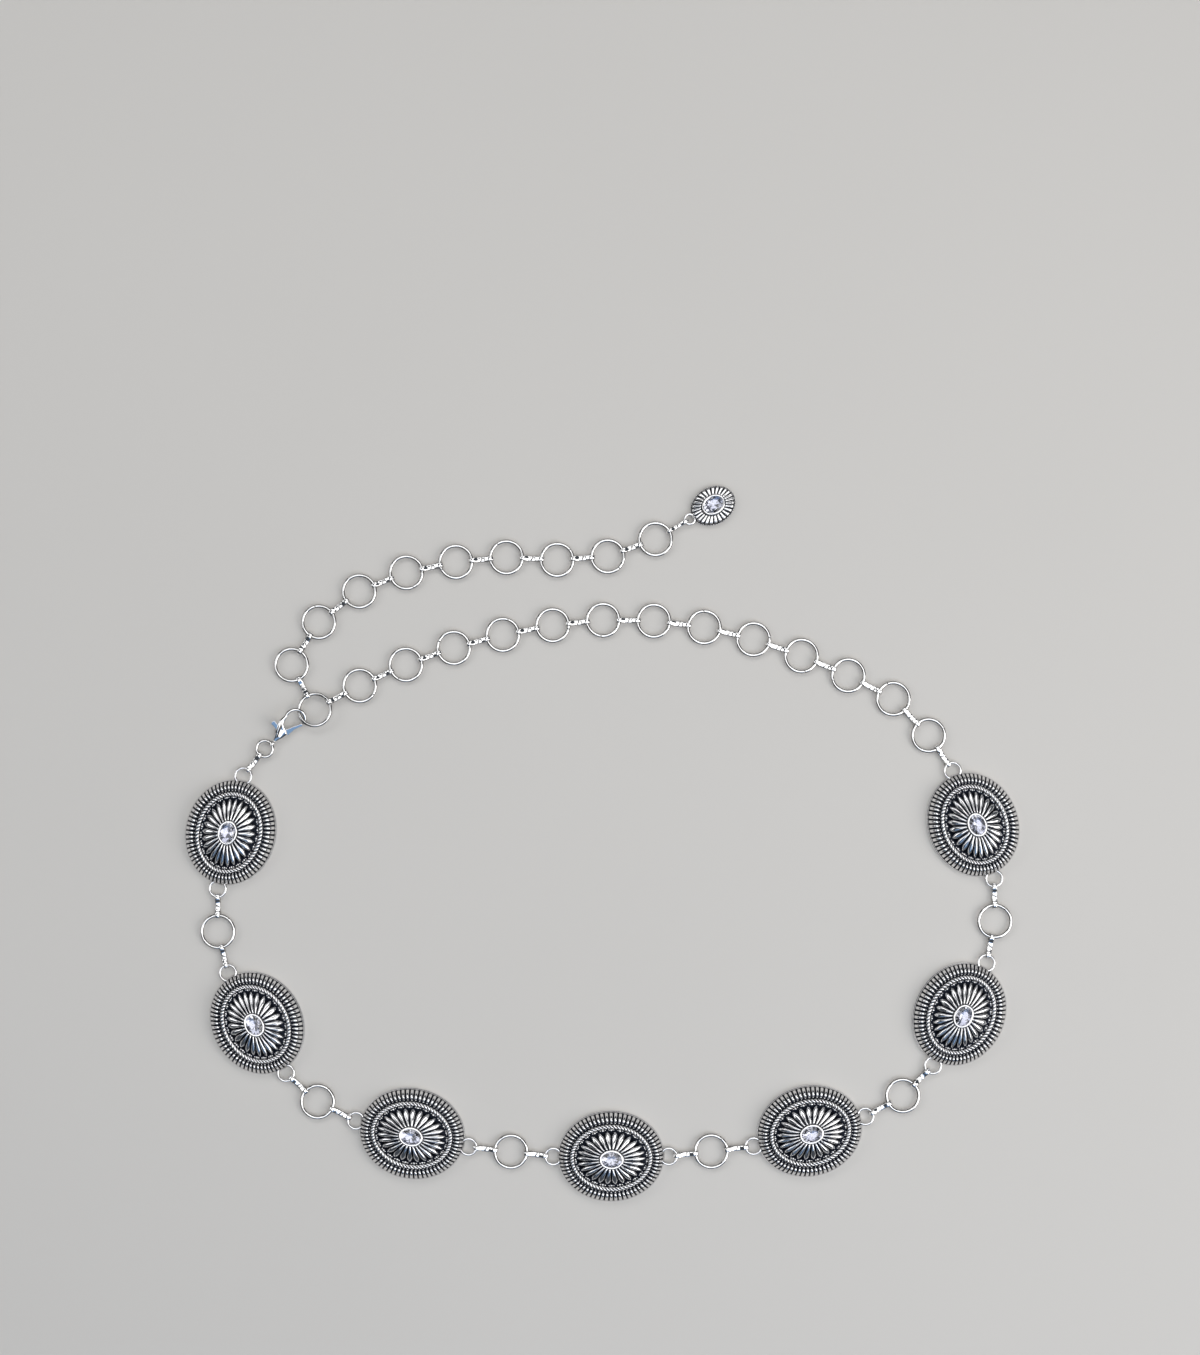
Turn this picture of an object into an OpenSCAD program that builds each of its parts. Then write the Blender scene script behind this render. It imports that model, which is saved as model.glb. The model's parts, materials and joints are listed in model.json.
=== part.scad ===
// Concho waist chain, fastened and lying in its loop: seven cast oval conchos with stones, round
// spacer rings on folded eye links, a ring extension, a free tail with a pendant, a lobster clasp.
// Millimetres, +Z up, origin at the bottom centre of the whole chain.

/* [Concho] */
// Length of a concho along the chain
concho_l = 42.8; // [38:0.1:48]
// Width of a concho across the chain
concho_w = 36.5; // [33:0.1:42]
// Height of the bezel's top over the surface the chain lies on
concho_h = 8.8; // [8:0.1:9.6]
// Thickness of the cast wall over the hollow back
wall = 1.4; // [1:0.05:1.8]
// Height of the smooth edge all round
edge_h = 0.9; // [0.6:0.05:1.3]
// Width of the ribbed border, which rises from the edge to the groove
border_w = 4; // [3.4:0.1:4.6]
// Height of the groove between the border and the rope
groove_h = 4.1; // [3.5:0.1:4.7]
// Ribs round the border, and strands round the rope
ribs = 68; // [48:2:72]
// How far a rib stands over the dip beside it
rib_rise = 0.65; // [0.3:0.05:0.9]
// Width of the groove between the border and the rope
groove_w = 0.9; // [0.6:0.05:1.2]
// Width of the rope ring
rope_w = 1.9; // [1.5:0.1:2.3]
// How far the rope stands over the grooves beside it
rope_rise = 1.1; // [0.7:0.05:1.5]
// Width of the dark field between the rope and the petal tips
field_w = 1.2; // [0.9:0.1:1.6]
// Petals round the dome
petals = 26; // [20:1:28]
// How far a petal's ridge stands over the dip beside it
petal_rise = 0.9; // [0.4:0.05:1.2]

/* [Stone] */
// Length of a stone
stone_l = 8; // [7:0.1:9]
// Width of a stone
stone_w = 6; // [5:0.1:7]
// Height of the crown over the girdle
crown_h = 0.9; // [0.6:0.05:1.2]
// Depth of the stone under the girdle
pavilion_h = 1.3; // [1:0.05:1.6]
// Thickness of the bezel's wall
bezel_wall = 0.7; // [0.5:0.05:0.9]
// Height of the bezel's rim over the petals
bezel_rise = 1; // [0.7:0.05:1.3]
// Gap between a stone and its bezel
stone_gap = 0.1; // [0.05:0.01:0.15]

/* [Rings] */
// Outer diameter of a round ring
ring_od = 14; // [12.6:0.1:15.4]
// Wire of a round ring
ring_wire = 1.2; // [1:0.05:1.3]
// Rings in the extension, with the one that the clasp holds
extension_rings = 14; // [12:1:16]
// Rings in the free tail
tail_rings = 9; // [7:1:10]
// Outer diameter of the loop cast on each end of a concho
lug_od = 7.4; // [7:0.1:8.4]
// Wire of that loop
lug_wire = 1; // [0.8:0.05:1.1]
// How far the loop's centre lies outside the concho's edge
lug_out = 1.6; // [1.2:0.1:2]

/* [Eye links] */
// From wire to wire through an eye link
link_pitch = 7.4; // [6.8:0.1:8.4]
// Width of the strip that an eye link is folded from
link_w = 2.1; // [1.7:0.05:2.3]
// Thickness of that strip
strip = 0.55; // [0.45:0.05:0.7]
// Play round a ring's wire in an eye
eye_play = 0.3; // [0.26:0.01:0.34]
// Width of the narrow eye link that carries the pendant
pendant_link_w = 1.6; // [1.3:0.05:1.7]

/* [Clasp] */
// Outer diameter of the jump ring before the clasp
jump_od = 7.5; // [7.2:0.1:8.4]
// Wire of the jump ring
jump_wire = 1.05; // [0.9:0.05:1.1]
// Length of the clasp from the middle of its eye to the end of its bow
clasp_l = 17.9; // [17.5:0.1:19]
// Middle radius of the bow
bow_r = 3.9; // [3.6:0.1:4.1]
// Thickness of the bow
bow_wire = 1.15; // [1:0.05:1.25]
// Thickness of the clasp's trunk
trunk_t = 2.3; // [2.2:0.05:2.6]
// Inner diameter of the clasp's eye
clasp_eye_id = 2; // [1.9:0.05:2.2]
// Wire of the clasp's eye
clasp_eye_wire = 0.8; // [0.7:0.05:0.9]
// Thickness of the lever
lever_t = 1; // [0.8:0.05:1.1]
// Diameter of the lever's pin
pin_d = 0.8; // [0.6:0.05:1]
// Running gap round the lever and its pin
lever_gap = 0.12; // [0.1:0.01:0.15]
// Tilt of the clasp, whose bow lies over the ring that it holds
clasp_tilt = 25; // [24:0.5:28]
// Tilt of the ring that the clasp holds, the other way
ring_tilt = 7; // [6:0.5:9]

/* [Pendant] */
// Length of the pendant
pendant_l = 19; // [17.5:0.1:21]
// Width of the pendant
pendant_w = 15; // [13.5:0.1:17]
// Height of the pendant's bezel
pendant_h = 4.2; // [3.9:0.1:5]
// Ribs round the pendant
pendant_ribs = 27; // [20:1:28]
// Outer diameter of the pendant's eye
pendant_eye_od = 5; // [4.8:0.1:5.6]
// How far the middle of that eye lies outside the pendant's edge
pendant_eye_out = 1.2; // [1:0.1:1.5]

/* [Hidden] */
conchos = 7;
spacers = conchos - 1;
$fn = 48;

// Centre line of the fastened loop as it lies, from the ring that the clasp holds, clockwise
route = [
    [-116, 53], [-80, 71], [-41, 83], [0, 89], [40, 86], [79, 74.5], [116, 57], [130, 42],
    [150.5, 7], [156, -31], [144, -69], [119.5, -101], [82, -117], [43, -123.5], [2, -127],
    [-39, -123.5], [-79, -117.5], [-116, -103], [-142, -72], [-155, -34.5], [-151.5, 4],
    [-144.5, 27], [-135.5, 38]
];
// Centre line of the free tail as it lies, from the same ring to past the pendant
tail_route = [
    [-116, 53], [-125.5, 70], [-115.5, 87], [-100, 99.5], [-81, 107.5], [-61, 112], [-41, 114],
    [-21, 113], [-1, 114], [18.5, 120.5], [42, 134], [66, 149], [90, 165]
];
curve_steps = 12;
settle_rounds = 9;
// Play of the jump ring in the clasp's eye, and of the held ring in the clasp's bow
eye_slack = 0.2;
bow_slack = 0.75;

// Middle radius of each kind of loop, and the height of its wire
ring_r = (ring_od - ring_wire) / 2;
lug_r = (lug_od - lug_wire) / 2;
jump_r = (jump_od - jump_wire) / 2;
pendant_wire = lug_wire;
pendant_eye_r = (pendant_eye_od - pendant_wire) / 2;
eye_ir = ring_wire / 2 + eye_play;
eye_or = eye_ir + strip;
wire_z = eye_or;
lug_at = concho_l / 2 + lug_out;

// Smooth curve through a list of points, four at a time
function bend(p, q, r, s, t) =
    0.5 * (2 * q + (r - p) * t + (2 * p - 5 * q + 4 * r - s) * t * t
        + (3 * q - p - 3 * r + s) * t * t * t);
function at(list, i, closed) =
    closed ? list[(i + len(list)) % len(list)] : list[max(0, min(len(list) - 1, i))];
function curve(list, closed) =
    [for (i = [0:len(list) - (closed ? 1 : 2)], k = [0:curve_steps - 1])
        bend(at(list, i - 1, closed), at(list, i, closed), at(list, i + 1, closed),
            at(list, i + 2, closed), k / curve_steps)];

// One stride along a curve: the next place at the given straight distance
function spot(line, t) =
    let (n = len(line), i = floor(t), f = t - i)
    line[i % n] * (1 - f) + line[(i + 1) % n] * f;
function crossing(p, q, from, d) =
    let (e = q - p, w = p - from, a = e * e, b = 2 * (w * e), c = w * w - d * d)
    (-b + sqrt(max(0, b * b - 4 * a * c))) / (2 * a);
function stride(line, from, d, i) =
    norm(line[i % len(line)] - from) >= d
        ? i - 1 + crossing(line[(i - 1) % len(line)], line[i % len(line)], from, d)
        : stride(line, from, d, i + 1);
function walk(line, strides, t = 0, k = 0, out = []) =
    k == len(strides) ? concat(out, [t])
        : walk(line, strides, stride(line, spot(line, t), strides[k], floor(t) + 1), k + 1,
            concat(out, [t]));

// Strides round the loop: rings, then a lug, a concho and a lug for each concho, then the clasp
ring_ring = 2 * ring_r + link_pitch;
ring_lug = ring_r + link_pitch + lug_r;
lug_jump = lug_r + link_pitch + jump_r;
jump_eye = jump_r + clasp_eye_id / 2 - jump_wire / 2 - eye_slack;
held_at = clasp_l - bow_wire - ring_wire / 2 - bow_slack;
jump_ring = jump_eye + held_at + ring_r;
loop_strides = concat(
    [for (i = [2:extension_rings]) ring_ring],
    [for (c = [1:conchos], s = [ring_lug, 2 * lug_at, ring_lug])
        c == conchos && s != 2 * lug_at ? ring_lug : s]
);
strides_to_jump = concat([for (i = [0:len(loop_strides) - 2]) loop_strides[i]], [lug_jump]);
all_strides = concat(strides_to_jump, [jump_ring]);

// The loop is grown or shrunk until its last stride ends where it began
route_line = curve(route, true);
function settle(k, rounds) =
    rounds <= 0 ? k
        : let (steps = walk(route_line * k, all_strides))
            settle(k * steps[len(steps) - 1] / len(route_line), rounds - 1);
loop_scale = settle(1, settle_rounds);
loop_line = route_line * loop_scale;
loop_steps = walk(loop_line, all_strides);
loop_spots = [for (t = loop_steps) spot(loop_line, t)];

// The tail starts at the held ring and ends at the pendant's eye
tail_shift = loop_spots[0] - tail_route[0] * loop_scale;
tail_line = [for (p = curve(tail_route, false)) p * loop_scale + tail_shift];
pendant_at = pendant_l / 2 + pendant_eye_out;
ring_pendant = ring_r + link_pitch + pendant_eye_r + pendant_at;
tail_steps = walk(tail_line, concat([for (i = [1:tail_rings]) ring_ring], [ring_pendant]));
tail_spots = [for (t = tail_steps) spot(tail_line, t)];

function heading(p, q) = atan2(q[1] - p[1], q[0] - p[0]);
first_lug = extension_rings;
function raw_lug(c, k) = loop_spots[first_lug + 3 * (c - 1) + k];
function raw_concho(c) = (raw_lug(c, 0) + raw_lug(c, 1)) / 2;
function concho_dir(c) = heading(raw_lug(c, 0), raw_lug(c, 1));
pendant_dir = heading(tail_spots[tail_rings], tail_spots[tail_rings + 1]);

// Half the reach of an oval along x and y
function reach(l, w, dir) =
    [norm([l * cos(dir), w * sin(dir)]) / 2, norm([l * sin(dir), w * cos(dir)]) / 2];
// The furthest that conchos, rings and pendant lie out on one side, which is 1 or -1, along x or y
function outermost(side, axis) = max(concat(
    [for (c = [1:conchos])
        side * raw_concho(c)[axis] + reach(concho_l, concho_w, concho_dir(c))[axis]],
    [for (p = concat(loop_spots, tail_spots)) side * p[axis] + ring_od / 2],
    [side * tail_spots[tail_rings + 1][axis] + reach(pendant_l, pendant_w, pendant_dir)[axis]]
));
middle = [for (axis = [0, 1]) (outermost(1, axis) - outermost(-1, axis)) / 2];

// Places in the finished frame
function ring_at(i) = loop_spots[i - 1] - middle;
function tail_at(i) = tail_spots[i] - middle;
function lug_spot(c, k) = raw_lug(c, k) - middle;
function concho_at(c) = raw_concho(c) - middle;
function spacer_at(s) = loop_spots[first_lug + 3 * s - 1] - middle;
jump_at = loop_spots[len(loop_spots) - 2] - middle;
held_ring_at = ring_at(1);
pull_dir = heading(jump_at, held_ring_at);
clasp_at = jump_at + jump_eye * [cos(pull_dir), sin(pull_dir)];

// Heights at the clasp: its bow lies on the held ring, and its gate side is the low one
held_lift = 1;
clasp_lift = 0.31;
jump_lift = 0.15;
// The link after the held ring rests askew, a little off the surface
askew_lift = 0.08;
held_ring_z = wire_z + held_lift;
clasp_z = wire_z + clasp_lift;
jump_z = wire_z + jump_lift;
function held_z(dir) = held_ring_z - ring_r * sin(ring_tilt) * sin(dir - pull_dir);

// A solid from closed rows of points, each row joined to the next, the end rows closed flat
function joins(a, n, b, m) = concat(
    [for (k = [0:n - 1]) let (j = ceil(m * (k + 0.5) / n - 0.5 - 0.0001))
        [a + k, b + j % m, a + (k + 1) % n]],
    [for (k = [0:m - 1]) let (i = floor(n * (k + 0.5) / m - 0.5 + 0.0001) + 1)
        [b + k, b + (k + 1) % m, a + i % n]]
);
function starts(rows, k = 0, sum = 0, out = []) =
    k == len(rows) ? out : starts(rows, k + 1, sum + len(rows[k]), concat(out, [sum]));
module skin(rows) {
    first = starts(rows);
    last = len(rows) - 1;
    faces = [for (k = [0:last - 1], f = joins(first[k], len(rows[k]), first[k + 1], len(rows[k + 1])))
        f];
    top = [for (i = [len(rows[last]) - 1:-1:0]) first[last] + i];
    bottom = [for (i = [0:len(rows[0]) - 1]) i];
    polyhedron([for (row = rows, p = row) p], concat([bottom], faces, [top]), convexity = 6);
}

// An oval row: half length, half width and height, then how far every second point steps in and
// down, and a turn in shares of one point
function row(n, a, b, z, step_in = 0, drop = 0, turn = 0) =
    [for (i = [0:n - 1]) let (t = 360 * (i + turn) / n, dip = i % 2, s = step_in * dip)
        [(a - s) * cos(t), (b - s) * sin(t), z - drop * dip]];

// Half sizes of the concho's edge, of a bezel and of the pocket in it
edge_a = concho_l / 2;
edge_b = concho_w / 2;
pocket_a = stone_l / 2 + stone_gap;
pocket_b = stone_w / 2 + stone_gap;
bezel_a = pocket_a + bezel_wall;
bezel_b = pocket_b + bezel_wall;
// A stone's girdle, its depth under the bezel's rim, and the gap under its point
girdle_t = 0.15;
lip = 0.3;
point_gap = 0.15;
pocket_deep = lip + girdle_t + pavilion_h + point_gap;
// How far in from the edge each ring of the relief lies
edge_lean = 0.1;
border_in = 0.35;
border_crest = border_w - border_in;
groove_at = border_w + groove_w;
rope_crest = groove_at + rope_w / 2;
rope_end = groove_at + rope_w;
tips_at = rope_end + field_w;
petal_notch = 1.2;
bezel_flare = 0.5;
// How much of a rib's rise is left at its outer end, and of a petal's at its upper end
rib_foot = 0.8;
petal_fade = 0.6;
// Heights over the groove of the dips between the ribs, of the rope's inner foot and of the field
crest_over = 0.2;
rope_over = 0.3;
field_over = 0.6;
crest_z = groove_h + crest_over + rib_rise;
rope_foot_z = groove_h + rope_over;
field_z = groove_h + field_over;
// The petals run up to a little over the bezel's foot
foot_deep = 0.3;
petal_top = concho_h - bezel_rise + foot_deep;
// The petals' ridges stand highest a third of the way up the dome
ridge_share = 0.36;
ridge_a = (edge_a - tips_at) * (1 - ridge_share) + bezel_a * ridge_share;
ridge_b = (edge_b - tips_at) * (1 - ridge_share) + bezel_b * ridge_share;
ridge_z = field_z * (1 - ridge_share) + petal_top * ridge_share + petal_rise;
back_sides = 24;

module concho_casting()
    skin([
        row(back_sides, bezel_a, bezel_b, concho_h - pocket_deep - wall),
        row(back_sides, ridge_a, ridge_b, ridge_z - petal_rise - wall),
        row(back_sides, edge_a - groove_at, edge_b - groove_at, groove_h - wall),
        row(back_sides, edge_a - wall, edge_b - wall, 0),
        row(ribs, edge_a, edge_b, 0),
        row(2 * ribs, edge_a - edge_lean, edge_b - edge_lean, edge_h + rib_rise * rib_foot,
            border_in, rib_rise * rib_foot),
        row(2 * ribs, edge_a - border_crest, edge_b - border_crest, crest_z, 0, rib_rise),
        row(ribs, edge_a - groove_at, edge_b - groove_at, groove_h, turn = 0.25),
        row(2 * ribs, edge_a - rope_crest, edge_b - rope_crest, groove_h + rope_rise, 0,
            rope_rise / 2, turn = 1),
        row(ribs, edge_a - rope_end, edge_b - rope_end, rope_foot_z, turn = 0.75),
        row(2 * petals, edge_a - tips_at, edge_b - tips_at, field_z, petal_notch),
        row(2 * petals, ridge_a, ridge_b, ridge_z, 0, petal_rise),
        row(2 * petals, bezel_a + bezel_flare, bezel_b + bezel_flare, petal_top, 0,
            petal_rise * petal_fade),
        row(petals, bezel_a, bezel_b, petal_top - petal_rise * petal_fade),
        row(petals, bezel_a, bezel_b, concho_h),
        row(petals, pocket_a, pocket_b, concho_h),
        row(petals, pocket_a, pocket_b, concho_h - pocket_deep)
    ]);

// A round loop of wire lying flat, its wire's middle at the given height
module loop(r, wire, z = 0)
    translate([0, 0, z]) rotate_extrude($fn = 32) translate([r, 0]) circle(d = wire, $fn = 16);

// The loop on a concho's end, and its root, which fills the dips between the ribs under it and
// stands out a little from the edge
root_out = 0.1;
module lug() {
    translate([lug_at, 0, 0]) loop(lug_r, lug_wire, wire_z);
    intersection() {
        translate([lug_at, 0, 0]) cylinder(r = lug_od / 2 + root_out, h = wire_z);
        linear_extrude(wire_z)
            polygon([for (p = row(ribs, edge_a + root_out, edge_b + root_out, 0)) [p[0], p[1]]]);
    }
}

module concho(c)
    color("lightslategray")
    translate(concho_at(c)) rotate([0, 0, concho_dir(c)]) {
        concho_casting();
        for (turn = [0, 180]) rotate([0, 0, turn]) lug();
    }

// An oval cut stone on the middle of its girdle's underside: table, crown, girdle and pavilion,
// whose table and lowest facet take these shares of its length and width
table_share = 0.58;
point_share = 0.4;
module cut_stone()
    skin([
        row(8, stone_l / 2 * point_share, stone_w / 2 * point_share, -pavilion_h),
        row(16, stone_l / 2, stone_w / 2, 0),
        row(16, stone_l / 2, stone_w / 2, girdle_t),
        row(8, stone_l / 2 * table_share, stone_w / 2 * table_share, girdle_t + crown_h)
    ]);

module stone(c)
    color("aliceblue")
    translate(concat(concho_at(c), [concho_h - lip - girdle_t])) rotate([0, 0, concho_dir(c)])
        cut_stone();

module ring(place, z = wire_z)
    translate(concat(place, [z])) loop(ring_r, ring_wire);

// Outline of an eye link from the side: an eye at each end, the strip closed up at the middle, and
// the eyes' hollows drawn out to a point towards it
eye_corners = 12;
waist = 0.55;
hollow_end = 0.93;
function arc(x, r, from, to) =
    [for (k = [0:eye_corners]) let (t = from + (to - from) * k / eye_corners)
        [x + r * cos(t), r * sin(t)]];
module link_outline(half)
    difference() {
        polygon(concat(arc(half, eye_or, -90, 90), [[waist, strip], [-waist, strip]],
            arc(-half, eye_or, 90, 270), [[-waist, -strip], [waist, -strip]]));
        for (side = [-1, 1]) polygon(concat(
            [for (p = arc(half, eye_ir, -90, 90)) [side * p[0], p[1]]], [[side * hollow_end, 0]]));
    }

// An eye link whose eyes sit round the points a and b
module eye_link(a, b, w = link_w, roll = 0) {
    flat = norm([b[0] - a[0], b[1] - a[1]]);
    translate((a + b) / 2)
        rotate([0, -atan2(b[2] - a[2], flat), heading(a, b)]) rotate([roll, 0, 0])
            rotate([90, 0, 0]) translate([0, 0, -w / 2]) linear_extrude(w)
                link_outline(norm(b - a) / 2);
}

// An eye link between two loops, given by their middles, radii and heights
module join_loops(p, r_p, q, r_q, z_p = wire_z, z_q = wire_z, w = link_w, roll = 0) {
    way = (q - p) / norm(q - p);
    eye_link(concat(p + r_p * way, [z_p]), concat(q - r_q * way, [z_q]), w, roll);
}

module spacer_ring(s) color("silver") ring(spacer_at(s));

module spacer_link(s, side)
    color("gainsboro")
    if (side == "a") join_loops(lug_spot(s, 1), lug_r, spacer_at(s), ring_r);
    else join_loops(spacer_at(s), ring_r, lug_spot(s + 1, 0), lug_r);

module lead_link()
    color("gainsboro") join_loops(lug_spot(conchos, 1), lug_r, jump_at, jump_r, wire_z, jump_z);

module clasp_ring()
    color("silver") translate(concat(jump_at, [jump_z])) loop(jump_r, jump_wire);

// The clasp's own flat: x along the pull from the middle of its eye, y towards the bow's side.
// The bow is part of a circle, from its nose round to its heel on the trunk
bow_x = clasp_l - bow_r - bow_wire / 2;
bow_rise = 0.51;
bow_y = bow_r * bow_rise;
nose_turn = -70;
heel_turn = 128;
heel_over = 0.15;
taper_turn = 110;
function on_bow(t, r = bow_r) = [bow_x + r * cos(t), bow_y + r * sin(t)];
trunk_l = bow_x - bow_r;
pivot_share = [0.63, 0.28];
pivot = [trunk_l * pivot_share[0], bow_r * pivot_share[1]];
// The pin ends a little under the trunk's faces
pin_under = 0.1;
// The gate ends short of the middle of the nose, and opens inwards
gate_short = 0.65;
gate_r = norm(on_bow(nose_turn) - pivot) - gate_short;
gate_open = 25;

module in_clasp()
    translate(concat(clasp_at, [clasp_z])) rotate([0, 0, pull_dir]) rotate([clasp_tilt, 0, 0])
        children();

// The trunk's sides, in shares of its length and of the bow's radius: the outer side from the eye
// to the heel, then the inner side back from there
trunk_outer = [[0.137, 0.154], [0.388, 0.64], [0.63, 1.18], [0.85, 1.46]];
trunk_inner = [[0.976, 1.15], [0.882, 0.69], [0.83, 0.2], [0.756, -0.33], [0.472, -0.295],
    [0.137, -0.154]];
module trunk_outline()
    polygon(concat(
        [for (p = trunk_outer) [p[0] * trunk_l, p[1] * bow_r]],
        [on_bow(heel_turn, bow_r + bow_wire / 2 + heel_over), on_bow(taper_turn, bow_r + bow_wire / 2)],
        [on_bow(taper_turn, bow_r - bow_wire / 2)],
        [for (p = trunk_inner) [p[0] * trunk_l, p[1] * bow_r]]
    ));

// The lever round its pivot, in shares of the gate's reach: the gate from the hub out and back,
// then, past the hub's round side, the thumb nub
hub_r = 1.35;
hub_arc = [-90:-10:-220];
gate_sides = [[0.117, 0.111], [0.293, -0.041], [0.587, -0.125], [0.968, -0.25], [0.937, -0.35],
    [0.542, -0.258], [0.141, -0.281]];
nub_sides = [[-0.105, 0.539], [-0.129, 0.656], [-0.035, 0.715], [0.082, 0.668], [0.07, 0.539]];
module lever_outline()
    translate(pivot) polygon(concat(
        gate_r * gate_sides, [for (t = hub_arc) hub_r * [cos(t), sin(t)]], gate_r * nub_sides
    ));

// Everything that the lever sweeps, from shut to open, with its running gap, in the same shares
gate_swept = [[0, 0.141], [1.014, -0.186], [1.014, -0.46], [0.117, -0.328], [-0.059, -0.141]];
nub_swept = [[-0.129, 0], [0.117, 0], [0.117, 0.726], [-0.129, 0.726]];
sweep_over = 3;
module sweep_outline()
    translate(pivot) {
        circle(r = hub_r + lever_gap);
        for (turn = [-2 * sweep_over, gate_open / 2 - 2 * sweep_over, gate_open])
            rotate([0, 0, turn]) polygon(gate_r * gate_swept);
        for (turn = [-sweep_over, gate_open / 2, gate_open + sweep_over])
            rotate([0, 0, turn]) polygon(gate_r * nub_swept);
    }

module clasp_body()
    color("silver")
    in_clasp() {
        difference() {
            union() {
                translate([0, 0, -trunk_t / 2]) linear_extrude(trunk_t) trunk_outline();
                translate([bow_x, bow_y, 0]) rotate([0, 0, nose_turn])
                    rotate_extrude(angle = heel_turn - nose_turn) translate([bow_r, 0])
                        circle(d = bow_wire, $fn = 16);
                rotate([90, 0, 0]) loop((clasp_eye_id + clasp_eye_wire) / 2, clasp_eye_wire);
            }
            translate([0, 0, -lever_t / 2 - lever_gap]) linear_extrude(lever_t + 2 * lever_gap)
                sweep_outline();
        }
        translate(concat(pivot, [pin_under - trunk_t / 2]))
            cylinder(d = pin_d, h = trunk_t - 2 * pin_under);
    }

module clasp_lever()
    color("lightsteelblue")
    in_clasp()
    translate([0, 0, -lever_t / 2]) linear_extrude(lever_t)
        difference() {
            lever_outline();
            translate(pivot) circle(d = pin_d + 2 * lever_gap);
        }

module held_ring()
    translate(concat(held_ring_at, [held_ring_z])) rotate([0, 0, pull_dir])
        rotate([-ring_tilt, 0, 0]) loop(ring_r, ring_wire);

module extension_chain()
    color("silver") {
        held_ring();
        for (i = [2:extension_rings]) ring(ring_at(i));
        join_loops(held_ring_at, ring_r, ring_at(2), ring_r,
            z_p = held_z(heading(held_ring_at, ring_at(2))), z_q = wire_z + askew_lift,
            roll = -ring_tilt / 2);
        for (i = [2:extension_rings - 1]) join_loops(ring_at(i), ring_r, ring_at(i + 1), ring_r);
        join_loops(ring_at(extension_rings), ring_r, lug_spot(1, 0), lug_r);
    }

pendant_eye_at = tail_at(tail_rings + 1)
    - pendant_at * [cos(pendant_dir), sin(pendant_dir)];

module tail_chain()
    color("silver") {
        for (i = [1:tail_rings]) ring(tail_at(i));
        join_loops(held_ring_at, ring_r, tail_at(1), ring_r,
            z_p = held_z(heading(held_ring_at, tail_at(1))));
        for (i = [1:tail_rings - 1]) join_loops(tail_at(i), ring_r, tail_at(i + 1), ring_r);
        join_loops(tail_at(tail_rings), ring_r, pendant_eye_at, pendant_eye_r, w = pendant_link_w);
    }

// Half sizes of the pendant, its scallops and its ribs, and the metal under its stone
pendant_a = pendant_l / 2;
pendant_b = pendant_w / 2;
scallop = 0.35;
rim_w = 1;
rim_rise = 0.8;
rim_z = edge_h + rim_rise;
rib_drop = 0.5;
pendant_back = 0.8;
pendant_top = pendant_h - bezel_rise + foot_deep;

module pendant()
    color("lightslategray")
    translate(tail_at(tail_rings + 1)) rotate([0, 0, pendant_dir]) {
        skin([
            row(pendant_ribs, bezel_a, bezel_b, pendant_h - pocket_deep - pendant_back),
            row(pendant_ribs, pendant_a - rim_w, pendant_b - rim_w, 0),
            row(2 * pendant_ribs, pendant_a, pendant_b, 0, scallop),
            row(2 * pendant_ribs, pendant_a, pendant_b, edge_h, scallop, rib_drop * rib_foot),
            row(2 * pendant_ribs, pendant_a - rim_w, pendant_b - rim_w, rim_z, 0, rib_drop),
            row(2 * pendant_ribs, bezel_a + bezel_flare, bezel_b + bezel_flare, pendant_top, 0,
                rib_drop),
            row(pendant_ribs, bezel_a, bezel_b, pendant_top - rib_drop),
            row(pendant_ribs, bezel_a, bezel_b, pendant_h),
            row(pendant_ribs, pocket_a, pocket_b, pendant_h),
            row(pendant_ribs, pocket_a, pocket_b, pendant_h - pocket_deep)
        ]);
        translate([-pendant_at, 0, 0]) loop(pendant_eye_r, pendant_wire, wire_z);
    }

module pendant_stone()
    color("aliceblue")
    translate(concat(tail_at(tail_rings + 1), [pendant_h - lip - girdle_t]))
        rotate([0, 0, pendant_dir]) cut_stone();

for (c = [1:conchos]) {
    concho(c);
    stone(c);
}
for (s = [1:spacers]) {
    spacer_ring(s);
    for (side = ["a", "b"])
        spacer_link(s, side);
}
lead_link();
clasp_ring();
clasp_body();
clasp_lever();
extension_chain();
tail_chain();
pendant();
pendant_stone();
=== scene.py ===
import bpy
import bmesh
import json
import numpy as np
from math import radians
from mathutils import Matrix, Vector


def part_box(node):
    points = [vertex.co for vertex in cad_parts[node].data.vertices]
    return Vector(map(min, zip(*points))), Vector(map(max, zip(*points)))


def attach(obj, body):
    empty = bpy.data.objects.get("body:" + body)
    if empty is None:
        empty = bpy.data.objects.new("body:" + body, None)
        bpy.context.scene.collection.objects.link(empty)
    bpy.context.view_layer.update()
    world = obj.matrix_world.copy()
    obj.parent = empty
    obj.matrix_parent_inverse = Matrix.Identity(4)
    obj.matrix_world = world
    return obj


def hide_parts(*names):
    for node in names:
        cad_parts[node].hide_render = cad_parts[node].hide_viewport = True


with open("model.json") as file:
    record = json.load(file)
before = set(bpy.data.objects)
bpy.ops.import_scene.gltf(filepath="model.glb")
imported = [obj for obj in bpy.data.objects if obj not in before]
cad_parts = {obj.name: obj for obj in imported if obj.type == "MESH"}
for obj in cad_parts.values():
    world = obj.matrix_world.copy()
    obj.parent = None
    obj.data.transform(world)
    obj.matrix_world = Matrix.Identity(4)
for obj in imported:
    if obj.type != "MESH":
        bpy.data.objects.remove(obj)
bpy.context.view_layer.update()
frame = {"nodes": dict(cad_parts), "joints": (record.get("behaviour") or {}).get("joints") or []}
print("frame loaded:", len(frame["nodes"]), "nodes")

mm = 0.001
whole = 2 * np.pi
# Points that agree to this many decimals of a millimetre are one point
sameDecimals = 3
# Angles in degrees at which faces keep a hard edge between them. Wires have none
crease = {"cast": 50, "wire": 180, "clasp": 38, "lever": 40}


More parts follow.
